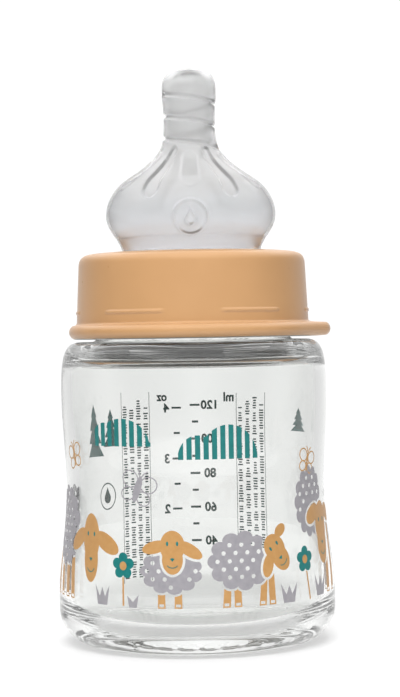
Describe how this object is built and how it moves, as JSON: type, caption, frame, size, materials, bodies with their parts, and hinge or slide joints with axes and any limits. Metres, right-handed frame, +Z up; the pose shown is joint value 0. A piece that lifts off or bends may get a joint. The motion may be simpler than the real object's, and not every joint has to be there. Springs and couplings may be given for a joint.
{
  "type": "baby bottle",
  "caption": "Waisted wide-neck glass feeding bottle with a flanged screw ring and a clear silicone teat that unscrew upwards together.",
  "frame": {"origin": "centre of the circle that the bottle stands on, at table height", "axes": "+Z up along the bottle's axis, +X towards the ring's lifting tab, -Y towards the viewer, where the teat's moulded ring mark is"},
  "size_m": [0.0638, 0.0638, 0.132],
  "materials": {
    "glass": "clear, polished, with fired enamel prints",
    "ring_plastic": "smooth moulded polypropylene, satin",
    "silicone": "clear silicone, glossy"
  },
  "bodies": {
    "bottle": {"glass_bottle": "glass"},
    "teat_body": {"teat": "silicone"},
    "ring_body": {"screw_ring": "ring_plastic"}
  },
  "joints": [
    {"name": "teat_lift", "type": "slide", "parent": "bottle", "child": "teat_body", "axis": [0, 0, 1], "range_m": [0, 0.018]},
    {"name": "ring_turn", "type": "hinge", "parent": "teat_body", "child": "ring_body", "pos_m": [0, 0, 0.08], "axis": [0, 0, 1], "range_deg": [0, 1440]}
  ],
  "couplings": [
    {"joint": "teat_lift", "follows": "ring_turn", "m_per_rad": 0.00071619}
  ]
}
